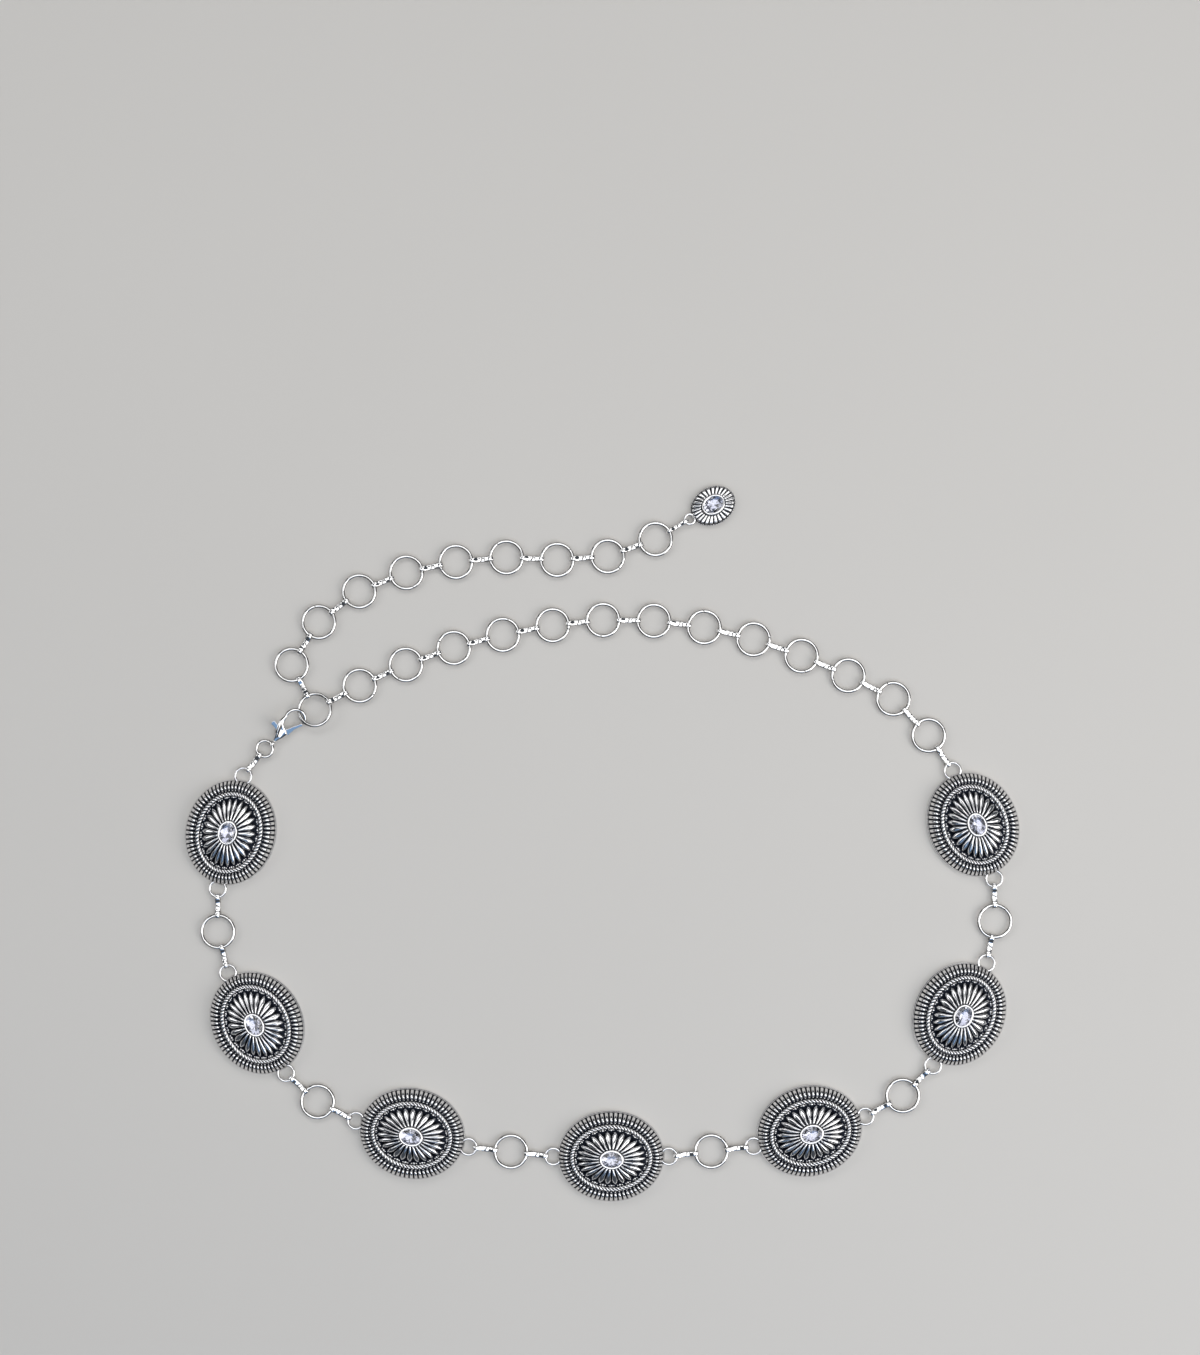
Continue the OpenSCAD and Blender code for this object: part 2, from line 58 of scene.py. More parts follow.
# Mesh tools. A part is points (millimetres), quads, triangles and an oxide-and-shade value for each point,
# which is 1 where black oxide stays in the hollows and 0 on the polished heights; on the sides of wires and
# strips the same value carries painted shade

def gridFaces(rows, columns, closedRows):
    # Quads from each row to the next one and from each column to the next, the last joined to the first
    i = np.arange(rows if closedRows else rows - 1)[:, None] * columns
    below = (i + columns) % (rows * columns)
    j = np.arange(columns)[None, :]
    k = (j + 1) % columns
    return np.stack([i + j, i + k, below + k, below + j], -1).reshape(-1, 4)


def fan(pole, first, columns, turned=False):
    # Triangles from one pole point to a ring of points that starts at first
    j = first + np.arange(columns)
    k = first + (np.arange(columns) + 1) % columns
    ends = (k, j) if turned else (j, k)
    return np.stack([np.full(columns, pole), *ends], -1)


def outward(part):
    # Six times the volume is the sum of the triple products of every triangle: below zero, all turn over
    points, quads, tris, oxideAndShade = part
    split = np.concatenate([quads[:, [0, 1, 2]], quads[:, [0, 2, 3]], tris])
    a, b, c = (points[split[:, k]] - points.mean(0) for k in range(3))
    if (np.cross(a, b) * c).sum() < 0:
        quads, tris = quads[:, ::-1], tris[:, ::-1]
    return points, quads, tris, oxideAndShade


def joined(parts):
    # Parts one after the other, each one's faces counted on from the points before it
    starts = np.cumsum([0] + [len(part[0]) for part in parts[:-1]])
    points, quads, tris, oxideAndShade = zip(*parts)
    return (np.concatenate(points), np.concatenate([faces + start for faces, start in zip(quads, starts)]),
            np.concatenate([faces + start for faces, start in zip(tris, starts)]), np.concatenate(oxideAndShade))


def placed(part, origin, axes):
    # Own coordinates times the three axes, plus the origin
    points, quads, tris, oxideAndShade = part
    return points @ np.asarray(axes) + np.asarray(origin), quads, tris, oxideAndShade


def surface(grid, oxideAndShade, closedRows=False, poles=None):
    # A grid of rows by columns of points, closed round its columns. Its last row is joined to its first, or
    # a fan closes each end, from the poles given or from the middle of the end row
    rows, columns = grid.shape[:2]
    points = grid.reshape(-1, 3)
    quads = gridFaces(rows, columns, closedRows)
    if closedRows:
        return outward((points, quads, np.zeros((0, 3), int), oxideAndShade.ravel()))
    points = np.concatenate([points, [grid[0].mean(0), grid[-1].mean(0)] if poles is None else poles])
    tris = np.concatenate([fan(rows * columns, 0, columns, turned=True),
                           fan(rows * columns + 1, (rows - 1) * columns, columns)])
    oxideAndShade = np.concatenate([oxideAndShade.ravel(), [oxideAndShade[0].mean(), oxideAndShade[-1].mean()]])
    return outward((points, quads, tris, oxideAndShade))


def ovalRows(rows, t):
    # One oval at the angles t for each row of half length, half width, height and recess
    halfA, halfB, high, dark = (np.array(column)[:, None] for column in zip(*rows))
    level = np.ones(t.size)
    return np.stack([halfA * np.cos(t), halfB * np.sin(t), high * level], -1), dark * level


def meshOf(name, part):
    # The quads' corners come first and the triangles' after them, and the oxide-and-shade value is kept on
    # the points
    points, quads, tris, oxideAndShade = part
    mesh = bpy.data.meshes.new(name)
    mesh.vertices.add(len(points))
    mesh.vertices.foreach_set("co", (points * mm).astype(np.float32).ravel())
    mesh.loops.add(quads.size + tris.size)
    mesh.loops.foreach_set("vertex_index", np.concatenate([quads.ravel(), tris.ravel()]).astype(np.int32))
    mesh.polygons.add(len(quads) + len(tris))
    starts = np.concatenate([np.arange(len(quads)) * 4, quads.size + np.arange(len(tris)) * 3])
    mesh.polygons.foreach_set("loop_start", starts.astype(np.int32))
    mesh.update(calc_edges=True)
    mesh.validate()
    mesh.attributes.new("oxideAndShade", "FLOAT", "POINT").data.foreach_set("value", oxideAndShade.astype(np.float32))
    return mesh


def newObject(name, data):
    item = bpy.data.objects.new(name, data)
    bpy.context.scene.collection.objects.link(item)
    return item


def makePiece(name, mesh, slot, nodes, sharp=None, body="chain"):
    # Smooth, with hard edges where faces meet at more than the angle, or flat all over where none is given
    mesh.polygons.foreach_set("use_smooth", np.full(len(mesh.polygons), sharp is not None))
    if sharp is not None:
        mesh.set_sharp_from_angle(angle=radians(sharp))
    mesh.materials.clear()
    mesh.materials.append(finishes[slot])
    piece = newObject(name, mesh)
    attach(piece, body)
    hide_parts(*nodes)
    return piece


# What the frame says of a node: its points, its loose solids, and how each one lies

def nodeTriangles(name):
    mesh = frame["nodes"][name].data
    co = np.empty(len(mesh.vertices) * 3, np.float32)
    mesh.vertices.foreach_get("co", co)
    corner = np.empty(len(mesh.loops), np.int32)
    mesh.loops.foreach_get("vertex_index", corner)
    points, which = np.unique(np.round(co.reshape(-1, 3) / mm, sameDecimals), axis=0, return_inverse=True)
    return points, which.ravel()[corner].reshape(-1, 3)


def looseSolids(name):
    # Every point takes the lowest label among the corners it shares a triangle with, until none changes
    points, tris = nodeTriangles(name)
    label = np.arange(len(points))
    while True:
        lowest = label[tris].min(1)
        spread = label.copy()
        for corner in range(3):
            np.minimum.at(spread, tris[:, corner], lowest)
        spread = spread[spread]
        if (spread == label).all():
            break
        label = spread
    return [points[label == one] for one in np.unique(label)]


def layOf(points):
    # Axes by singular values, the longest reach first, and the middle between the ends along each axis
    axes = np.linalg.svd(points - points.mean(0), full_matrices=False)[2]
    along = points @ axes.T
    low, high = along.min(0), along.max(0)
    order = np.argsort(low - high)
    return ((low + high) / 2) @ axes, axes[order], (high - low)[order]


def ovalLay(name):
    # A stone's middle, its axes with its long direction in the plane first, and its lowest level
    points = nodeTriangles(name)[0]
    low, high = points.min(0), points.max(0)
    long = np.linalg.svd(points[:, :2] - points[:, :2].mean(0), full_matrices=False)[2][0]
    axes = np.array([[long[0], long[1], 0], [-long[1], long[0], 0], [0, 0, 1]])
    return np.array([*(low + high)[:2] / 2, 0]), axes, low[2]


# Curves that the shapes share

def share(angle, count, shift=0.0):
    # Where an angle lies in its own repeat, from -0.5 to 0.5, with 0 on the crest
    return (angle / whole * count + shift + 0.5) % 1 - 0.5


def dome(x, power=2):
    # The root of one minus x to the power, nothing past one: half round for 2, and flatter on top above it
    return np.sqrt(np.clip(1 - np.abs(x) ** power, 0, None))


def ease(x):
    # From 0 to 1 without a corner: x squared times three less twice x
    x = np.clip(x, 0, 1)
    return x * x * (3 - 2 * x)


def bell(x, wide):
    # 1 in the middle, about a third at the width, next to nothing at twice the width
    return np.exp(-np.square(x / wide))


def superOval(angle, power):
    # Cosine and sine raised to the power, each with its own sign: a low power gives a rounded oblong
    return [np.sign(wave) * np.abs(wave) ** power for wave in (np.cos(angle), np.sin(angle))]


# Shader groups that the finishes share

# The sockets of a mix node go by number
mixValue = {"factor": 0, "first": 2, "second": 3, "result": 0}
mixColour = {"factor": 0, "first": 6, "second": 7, "result": 2}


def newGroup(name, inputs, outputs):
    group = bpy.data.node_groups.new(name, "ShaderNodeTree")
    for label, value in inputs.items():
        socket = group.interface.new_socket(label, in_out="INPUT", socket_type="NodeSocketFloat")
        socket.default_value = value
    for label in outputs:
        group.interface.new_socket(label, in_out="OUTPUT", socket_type="NodeSocketFloat")
    return group, group.nodes.new("NodeGroupInput"), group.nodes.new("NodeGroupOutput")


def addNode(tree, kind, settings=None, values=None):
    node = tree.nodes.new(kind)
    for key, value in (settings or {}).items():
        setattr(node, key, value)
    for key, value in (values or {}).items():
        node.inputs[key].default_value = value
    return node


def colourMix(tree, first=None, second=None):
    # A mix of two colours, of which one may come from a link
    given = {mixColour["first"]: first, mixColour["second"]: second}
    return addNode(tree, "ShaderNodeMix", {"data_type": "RGBA"},
                   {socket: colour for socket, colour in given.items() if colour})


oxideAndShadeLook = {"low": 0.35, "high": 0.8, "grain": 900.0, "spread": 0.36,
             "fine": {"Detail": 4.0, "Roughness": 0.6},
             "blotch": {"Scale": 160.0, "Detail": 3.0, "Roughness": 0.55}}


def oxideAndShadeGroup():
    # Mask of oxide and painted shade: the oxide-and-shade value, roughened by fine noise, cut between two
    # levels
    look = oxideAndShadeLook
    group, into, out = newGroup("oxideAndShadeMask", {"Low": look["low"], "High": look["high"],
                                                    "Grain": look["grain"]}, ["Mask", "Wear"])
    place = addNode(group, "ShaderNodeTexCoord")
    oxideAndShade = addNode(group, "ShaderNodeAttribute", {"attribute_name": "oxideAndShade"})
    noise = addNode(group, "ShaderNodeTexNoise", values=look["fine"])
    blotch = addNode(group, "ShaderNodeTexNoise", values=look["blotch"])
    spread = addNode(group, "ShaderNodeMath", {"operation": "MULTIPLY_ADD"},
                     {1: look["spread"], 2: -look["spread"] / 2})
    added = addNode(group, "ShaderNodeMath", {"operation": "ADD"})
    cut = addNode(group, "ShaderNodeMapRange", {"interpolation_type": "SMOOTHSTEP"})
    link = group.links.new
    link(place.outputs["Object"], noise.inputs["Vector"])
    link(place.outputs["Object"], blotch.inputs["Vector"])
    link(into.outputs["Grain"], noise.inputs["Scale"])
    link(noise.outputs["Fac"], spread.inputs[0])
    link(oxideAndShade.outputs["Fac"], added.inputs[0])
    link(spread.outputs[0], added.inputs[1])
    link(added.outputs[0], cut.inputs["Value"])
    link(into.outputs["Low"], cut.inputs["From Min"])
    link(into.outputs["High"], cut.inputs["From Max"])
    link(cut.outputs["Result"], out.inputs["Mask"])
    link(blotch.outputs["Fac"], out.inputs["Wear"])
    return group


markLook = {"scale": 700.0, "stretches": ((1.0, 9.0, 1.0), (8.0, 1.0, 1.0)), "turn": 0.6,
            "noise": {"Detail": 3.0, "Roughness": 0.65}, "dullFrom": 0.15, "dullTo": 0.4, "deep": 0.00002}


def markGroup():
    # Two stretched noises crossed: thin polishing marks as a height, and where they dull the gloss
    look = markLook
    group, into, out = newGroup("polishMarks", {"Scale": look["scale"]}, ["Height", "Dull"])
    place = addNode(group, "ShaderNodeTexCoord")
    both = addNode(group, "ShaderNodeMath", {"operation": "MULTIPLY"})
    link = group.links.new
    for side, stretch in enumerate(look["stretches"]):
        stretched = addNode(group, "ShaderNodeMapping", values={"Scale": stretch,
                                                                "Rotation": (0, 0, look["turn"])})
        noise = addNode(group, "ShaderNodeTexNoise", values=look["noise"])
        link(place.outputs["Object"], stretched.inputs["Vector"])
        link(stretched.outputs["Vector"], noise.inputs["Vector"])
        link(into.outputs["Scale"], noise.inputs["Scale"])
        link(noise.outputs["Fac"], both.inputs[side])
    dull = addNode(group, "ShaderNodeMapRange",
                   values={"From Min": look["dullFrom"], "From Max": look["dullTo"]})
    link(both.outputs[0], out.inputs["Height"])
    link(both.outputs[0], dull.inputs["Value"])
    link(dull.outputs["Result"], out.inputs["Dull"])
    return group


oxideAndPaintedShade = oxideAndShadeGroup()
marks = markGroup()


def newMaterial(name, values):
    # A material with its shader, whose plain values are set
    material = bpy.data.materials.new(name)
    material.use_nodes = True
    shader = material.node_tree.nodes["Principled BSDF"]
    for key, value in values.items():
        shader.inputs[key].default_value = value
    return material, material.node_tree, shader


def silverMaterial(name, look):
    # Silver and the dark colour mixed by the mask of oxide and painted shade, roughness by the same mask and
    # the polishing marks
    material, tree, shader = newMaterial(name, {"Metallic": 1.0})
    link = tree.links.new
    mask = addNode(tree, "ShaderNodeGroup", {"node_tree": oxideAndPaintedShade},
                   {"Low": look["maskLow"], "High": look["maskHigh"]})
    scratches = addNode(tree, "ShaderNodeGroup", {"node_tree": marks}, {"Scale": look["markScale"]})
    silver = colourMix(tree, look["silver"], look["worn"])
    colour = colourMix(tree, second=look["oxideAndPaintedShade"])
    rough = addNode(tree, "ShaderNodeMapRange",
                    values={"To Min": look["gloss"][0], "To Max": look["gloss"][1]})
    both = addNode(tree, "ShaderNodeMix", {"data_type": "FLOAT"}, {mixValue["second"]: look["maskGloss"]})
    bump = addNode(tree, "ShaderNodeBump",
                   values={"Strength": look["markBump"], "Distance": markLook["deep"]})
    link(mask.outputs["Wear"], silver.inputs[mixColour["factor"]])
    link(mask.outputs["Mask"], colour.inputs[mixColour["factor"]])
    link(silver.outputs[mixColour["result"]], colour.inputs[mixColour["first"]])
    link(colour.outputs[mixColour["result"]], shader.inputs["Base Color"])
    link(scratches.outputs["Dull"], rough.inputs["Value"])
    link(rough.outputs["Result"], both.inputs[mixValue["first"]])
    link(mask.outputs["Mask"], both.inputs[mixValue["factor"]])
    link(both.outputs[mixValue["result"]], shader.inputs["Roughness"])
    link(scratches.outputs["Height"], bump.inputs["Height"])
    link(bump.outputs["Normal"], shader.inputs["Normal"])
    return material


def driftMaterial(name, look):
    # Two tones of one colour that drift into each other over the object
    material, tree, shader = newMaterial(name, look["shader"])
    place = addNode(tree, "ShaderNodeTexCoord")
    drift = addNode(tree, "ShaderNodeTexNoise", values=look["drift"])
    tint = colourMix(tree, *look["tones"])
    tree.links.new(place.outputs["Object"], drift.inputs["Vector"])
    tree.links.new(drift.outputs["Fac"], tint.inputs[mixColour["factor"]])
    tree.links.new(tint.outputs[mixColour["result"]], shader.inputs["Base Color"])
    return material


finishes = {
    "antique_silver": silverMaterial("antiqueSilver", {
        # Dark colour: oxide in the hollows, and painted shade on the sides of the lugs and the pendant's eye
        "silver": (0.90, 0.89, 0.88, 1), "worn": (0.76, 0.76, 0.78, 1), "oxideAndPaintedShade": (0.010, 0.012, 0.018, 1),
        "maskLow": 0.34, "maskHigh": 0.66, "gloss": (0.09, 0.18), "maskGloss": 0.4,
        "markScale": 900.0, "markBump": 0.12}),
    "polished_silver": silverMaterial("polishedSilver", {
        # Dark colour: painted shade on the sides of wires, links and the bow; also the seams and the clasp's
        # groove
        "silver": (0.92, 0.91, 0.90, 1), "worn": (0.82, 0.81, 0.80, 1), "oxideAndPaintedShade": (0.11, 0.10, 0.092, 1),
        "maskLow": 0.3, "maskHigh": 0.9, "gloss": (0.05, 0.13), "maskGloss": 0.3,
        "markScale": 700.0, "markBump": 0.08}),
    # Clear pale stone with a faint lilac tint
    "cut_stone": driftMaterial("cutStone", {
        "tones": ((0.86, 0.88, 0.92, 1), (0.70, 0.70, 0.80, 1)), "drift": {"Scale": 120.0, "Detail": 2.0},
        "shader": {"Roughness": 0.05, "IOR": 1.6, "Transmission Weight": 1.0}})}
print("finishes made")

# Loops and rings

wire = {"turns": 72, "sides": 16, "seamWide": 0.022, "seamDeep": 0.24, "crowd": 0.8,
        # The share of the half width from which painted shade darkens a wire's sides, and how strong it is
        "sideFrom": 0.4, "sideShadeStrength": 1.4,
        # A solid is a ring if its second reach is more than this share of its first
        "roundFrom": 0.8,
        # The seams' places: the first turn in radians, and the step from one to the next
        "seamFirst": 0.9, "seamStep": 2.4}


def wireSideShade(x):
    # How much painted shade darkens a wire's sides, x being the share of the half width
    return wire["sideShadeStrength"] * ease((np.abs(x) - wire["sideFrom"]) / (1 - wire["sideFrom"]))


def wireLoop(radius, thickness, seam=True, sideShading=1.0):
    # A circle of wire: angle v round the loop, angle u round the wire. The wire thins by a narrow bell curve
    # at its seam, and the columns crowd there because v runs as t - crowd * sin(t)
    t = np.linspace(0, whole, wire["turns"], endpoint=False)
    v = (t - (wire["crowd"] * np.sin(t) if seam else 0))[:, None]
    u = np.linspace(0, whole, wire["sides"], endpoint=False)[None, :]
    away = np.minimum(v, whole - v) * np.ones_like(u)
    pinch = bell(away, wire["seamWide"]) if seam else np.zeros_like(away)
    thick = thickness / 2 * (1 - wire["seamDeep"] * pinch)
    r = radius + thick * np.cos(u)
    grid = np.stack([r * np.cos(v), r * np.sin(v), thick * np.sin(u)], -1)
    # The sides of the wire get painted shade
    return surface(grid, np.maximum(pinch, wireSideShade(np.cos(u)) * sideShading), closedRows=True)


def ringPart(points, turn):
    # The loop in a node's own lay: outer size and wire from its reach, the seam turned to its own place
    middle, axes, reach = layOf(points)
    thickness = reach[2]
    up = axes[2] * np.sign(axes[2][2] or 1)
    side = np.cross(up, [1.0, 0, 0])
    side /= np.linalg.norm(side)
    first = np.cross(side, up)
    spun = np.array([first * np.cos(turn) + side * np.sin(turn),
                     side * np.cos(turn) - first * np.sin(turn), up])
    return placed(wireLoop((reach[0] + reach[1]) / 4 - thickness / 2, thickness), middle, spun)


# Eye links: a strip folded into an eye at each end, its ends meeting askew on the upper side

eyeLink = {"strip": 0.55, "steps": 72, "around": 16, "round": 2.8, "slant": 0.55, "slantWide": 0.7,
           # The strip's width along the loop: between the eyes, over the wires and at the eyes' outer ends
           "span": 0.95, "overWire": 0.7, "bead": 0.8, "wireWide": 0.55,
           # The two runs lie together up to the first share of their half length and part over the second
           "flat": 0.3, "closed": 0.6,
           "seamWide": 0.13, "seamDeep": 0.3, "seamNarrow": 0.18, "seamDip": 0.1, "seamDark": 1.1,
           # Where painted shade begins on the strip's two edges, as a share of its half width, and how strong
           # it is
           "edgeFrom": 0.8, "edgeShadeStrength": 0.75,
           # The largest roll of a link about its length in degrees, and how many rolls are tried
           "rollReach": 8, "rollTries": 161}


def linkPart(points):
    # The link in a node's own lay: its length by singular values, its roll by the flattest sides
    middle, axes, reach = layOf(points)
    along = axes[0]
    level = np.cross([0, 0, 1.0], along)
    level /= np.linalg.norm(level)
    upright = np.cross(along, level)
    most = eyeLink["rollReach"]
    rolls = np.radians(np.linspace(-most, most, eyeLink["rollTries"]))[:, None]
    sides = level * np.cos(rolls) + upright * np.sin(rolls)
    away = np.abs((points - middle) @ sides.T)
    # The true side direction is the one in which every point lies nearest to one of the two flat sides
    level = sides[np.argmin(away.max(0) - away.mean(0))]
    axes = np.array([along, level, np.cross(along, level)])
    local = (points - middle) @ axes.T
    length, width, height = local.max(0) - local.min(0)
    return placed(foldedStrip(length / 2, width, height / 2), middle, axes)


def foldedStrip(reach, width, eye):
    # The strip's middle line is a closed loop: half a circle round each eye, and between the eyes two runs
    # that ease together to the middle. Its section is a rounded oblong, whose width changes along the loop
    k = eyeLink
    strip = k["strip"]
    r = eye - strip / 2
    half = reach - eye
    quarter = k["steps"] // 4
    run = np.linspace(1, -1, 2 * quarter, endpoint=False)
    near = ease((np.abs(run) - k["flat"]) / k["closed"])
    lift = strip / 2 + (r - strip / 2) * near
    turn = np.linspace(0, np.pi, quarter, endpoint=False)
    x = np.concatenate([half * run, -half - r * np.sin(turn), -half * run, half + r * np.sin(turn)])
    z = np.concatenate([lift, r * np.cos(turn), -lift, -r * np.cos(turn)])
    tangent = np.stack([np.roll(x, -1) - np.roll(x, 1), np.roll(z, -1) - np.roll(z, 1)], -1)
    tangent /= np.linalg.norm(tangent, axis=1)[:, None]
    normal = np.stack([-tangent[:, 1], tangent[:, 0]], -1)
    past = np.clip((np.abs(x) - half) / r, 0, 1)
    spread = k["span"] - (k["span"] - k["overWire"]) * bell(np.abs(x) - half, k["wireWide"])
    spread = np.where(past > 0, k["overWire"] + (k["bead"] - k["overWire"]) * past, spread)
    upper = (z > 0)[:, None]
    seam = bell(x, k["seamWide"])[:, None] * upper
    flat, thick = superOval(np.linspace(0, whole, k["around"], endpoint=False), 2 / k["round"])
    y = width / 2 * spread[:, None] * (1 - k["seamNarrow"] * seam) * flat
    out = strip / 2 * thick * (1 - k["seamDeep"] * seam) - seam * k["seamDip"]
    shear = k["slant"] * y * bell(x, k["slantWide"])[:, None] * upper
    grid = np.stack([x[:, None] + normal[:, :1] * -out + shear, y, z[:, None] + normal[:, 1:] * -out], -1)
    # The seam is black, and painted shade darkens the strip's two edges
    edges = k["edgeShadeStrength"] * ease((np.abs(flat) - k["edgeFrom"]) / (1 - k["edgeFrom"]))
    return surface(grid, np.maximum(seam * k["seamDark"], edges), closedRows=True)


def chainPart(name):
    # Rings have two equal reaches, links only one long one
    parts = []
    for number, points in enumerate(looseSolids(name)):
        reach = layOf(points)[2]
        if reach[1] > wire["roundFrom"] * reach[0]:
            parts.append(ringPart(points, wire["seamFirst"] + wire["seamStep"] * number))
        else:
            parts.append(linkPart(points))
    return joined(parts)


def wirePiece(node, ending="_wire"):
    name = node + ending
    makePiece(name, meshOf(name, chainPart(node)), "polished_silver", [node], crease["wire"])


# Bezels, all of one size, round one kind of stone

bezel = {"half": (4.8, 3.8), "wall": 0.7, "pocketDeep": 1.9}


def bezelRows(top, steps):
    # Each step is the way in from the bezel's outer side, the way down from its top and the recess
    halfA, halfB = bezel["half"]
    return [(halfA - inwards, halfB - inwards, top - down, dark)
            for inwards, down, dark in [*steps, (bezel["wall"], bezel["pocketDeep"], 0)]]


# Conchos. The bands of the relief go by the inset from the edge

concho = {
    "count": 7, "half": (21.4, 18.25), "columns": 68 * 12, "ribs": 68, "petals": 26, "wall": 1.4, "top": 8.8,
    "bezelSteps": [(0, 0.95, 1), (0, 0.25, 0.25), (0.12, 0.05, 0), (0.35, 0, 0), (0.6, 0.04, 0),
                   (0.7, 0.22, 0.2)],
    # The insets of the rows in each band
    "edgeRows": [0.0, 0.08, 0.3, 0.54], "ribRows": (0.64, 4.16, 12), "grooveRows": [4.24, 4.4, 4.56, 4.74],
    "ropeRows": 9, "ropeInside": 0.995, "fieldRows": [6.88, 7.1, 7.3, 7.5, 7.7],
    "petalRows": (7.84, 15), "petalCrowd": 1.25,
    # Insets are even all round up to here, and from here on the ovals turn into the bezel's
    "evenTo": 8,
    # The hollow back: its ridge's share of the way to the bezel and height, its flat's inset, its recess
    "ridgeShare": 0.36, "ridgeHigh": 4.5, "hollowIn": 4.9, "backDark": (0.5, 0.5, 0.45, 0.2, 0.1),
    # The lugs: how far out they stand, their ring, wire and height, and the painted shade on their wire's
    # sides
    "lugOut": 1.6, "lugRing": 3.2, "lugWire": 1.0, "lugHigh": 1.45, "lugShade": 0.36,
    "edge": {"wide": 0.55, "low": 0.75, "high": 1.5},
    "rib": {"from": 0.62, "to": 4.2, "low": 1.3, "top": 4.3, "slopeFrom": 0.35, "slopeWide": 3.1,
            "rise": 0.72, "share": 0.345, "acrossPower": 2.6, "alongPower": 5, "dark": 1.15},
    "groove": {"high": 4.1, "beadAt": 4.5, "bead": 0.27, "beadRise": 1.2, "beadLong": 1.3, "pitch": 1.5,
               "dark": 1.3},
    "rope": {"at": 5.85, "half": 0.92, "foot": 0.1, "rise": 1.1, "least": 0.68, "twist": 0.5, "share": 0.39,
             "strandPower": 3, "tubePower": 2.6, "dark": 1.5},
    "field": {"high": 4.42, "pitch": 3.0, "granuleAt": 7.3, "granule": 0.46, "granuleRise": 0.4,
              "dotAt": 7.12, "dot": 0.24, "dotRise": 0.2, "dotShare": 0.27, "dark": 1.5},
    "petal": {"from": 7.72, "to": 16.35, "top": 8.05, "flatten": 0.8, "rise": 0.95, "riseLoss": 0.35,
              # Half the width in shares of the repeat, the tip's length and bluntness, and how it narrows
              "half": 0.45, "tipLong": 0.3, "tipPower": 0.85, "least": 1e-4,
              "narrow": 0.26, "narrowFrom": 0.25, "narrowLong": 0.6,
              # The raised tip, the sunk line along its rim, and how far in the field shows beside it
              "tipLift": 0.32, "liftIn": 0.06, "liftOut": 0.5,
              "rimAt": 0.78, "rimWide": 0.1, "rimFrom": 0.1, "rimLong": 0.3, "rimDeep": 0.1, "rimDark": 0.6,
              "fieldTo": 0.12, "dark": 1.08}}
edge, rib, groove, rope, field, petal = (
    concho[band] for band in ("edge", "rib", "groove", "rope", "field", "petal"))


def conchoRibs(s, lie):
    # Half round across, rounded off at both ends, on a slope that rises as a quarter sine
    middle, half = (rib["from"] + rib["to"]) / 2, (rib["to"] - rib["from"]) / 2
    bar = dome(lie / rib["share"], rib["acrossPower"]) * dome((s - middle) / half, rib["alongPower"])
    way = np.clip((s - rib["slopeFrom"]) / rib["slopeWide"], 0, 1)
    slope = rib["low"] + (rib["top"] - rib["low"]) * np.sin(np.pi / 2 * way)
    return slope + rib["rise"] * bar, 1 - ease(bar * rib["dark"])


def conchoGroove(s, lie):
    # Small beads, one behind the end of each rib
    size = groove["bead"]
    bead = dome(np.hypot((s - groove["beadAt"]) / size, lie * groove["pitch"] / (size * groove["beadLong"])))
    return groove["high"] + size * groove["beadRise"] * bead, 1 - bead * groove["dark"]


def conchoRope(s, t):
    # Half round along s, cut by slanting strands that are half round themselves
    across = (s - rope["at"]) / rope["half"]
    strand = dome(share(t, concho["ribs"], rope["twist"] * across) / rope["share"], rope["strandPower"])
    tube = dome(across, rope["tubePower"])
    rise = rope["rise"] * (rope["least"] + (1 - rope["least"]) * strand)
    return groove["high"] + rope["foot"] + tube * rise, 1 - ease(tube * strand * rope["dark"])


def conchoField(s, t):
    # Black, with a granule in each gap between two tips and two dots beside each tip
    gap = share(t, concho["petals"], 0.5)
    size = field["granule"]
    granule = dome(np.hypot((s - field["granuleAt"]) / size, gap * field["pitch"] / size))
    aside = (np.abs(gap) - field["dotShare"]) * field["pitch"] / field["dot"]
    dots = dome(np.hypot((s - field["dotAt"]) / field["dot"], aside))
    high = field["high"] + field["granuleRise"] * granule + field["dotRise"] * dots
    return high, 1 - field["dark"] * np.maximum(granule, dots)


def conchoPetals(s, t, below):
    # Half round across, drawn to a point at the tip, on a dome that flattens towards the bezel. The tip is
    # raised and has a sunk line along its rim, and the field shows beside it
    way = (s - petal["from"]) / (petal["to"] - petal["from"])
    lie = share(t, concho["petals"])
    tip = np.sin(np.pi / 2 * np.clip(way / petal["tipLong"], petal["least"], 1)) ** petal["tipPower"]
    narrowed = petal["narrow"] * ease((way - petal["narrowFrom"]) / petal["narrowLong"])
    wide = petal["half"] * tip * (1 - narrowed)
    body = dome(lie / wide)
    inwards = np.clip(way, 0, 1)
    crest = field["high"] + (petal["top"] - field["high"]) * (1 - petal["flatten"] * np.square(1 - inwards))
    valley = np.maximum(field["high"], crest - petal["rise"] * (1 - petal["riseLoss"] * inwards))
    lift = petal["tipLift"] * ease(way / petal["liftIn"]) * (1 - ease(way / petal["liftOut"]))
    rim = bell(np.abs(lie) / wide - petal["rimAt"], petal["rimWide"])
    rim = rim * (1 - ease((way - petal["rimFrom"]) / petal["rimLong"]))
    beside = way < petal["fieldTo"]
    high = np.maximum(below[0] * beside, valley + (crest - valley + lift) * body - petal["rimDeep"] * rim)
    dark = 1 - ease(body * petal["dark"]) + petal["rimDark"] * rim
    return high, np.where(beside & (body <= 0), below[1], dark)


def laid(below, there, above):
    # Height and recess of a further band where it lies, and of the bands before it elsewhere
    return [np.where(there, new, old) for old, new in zip(below, above)]


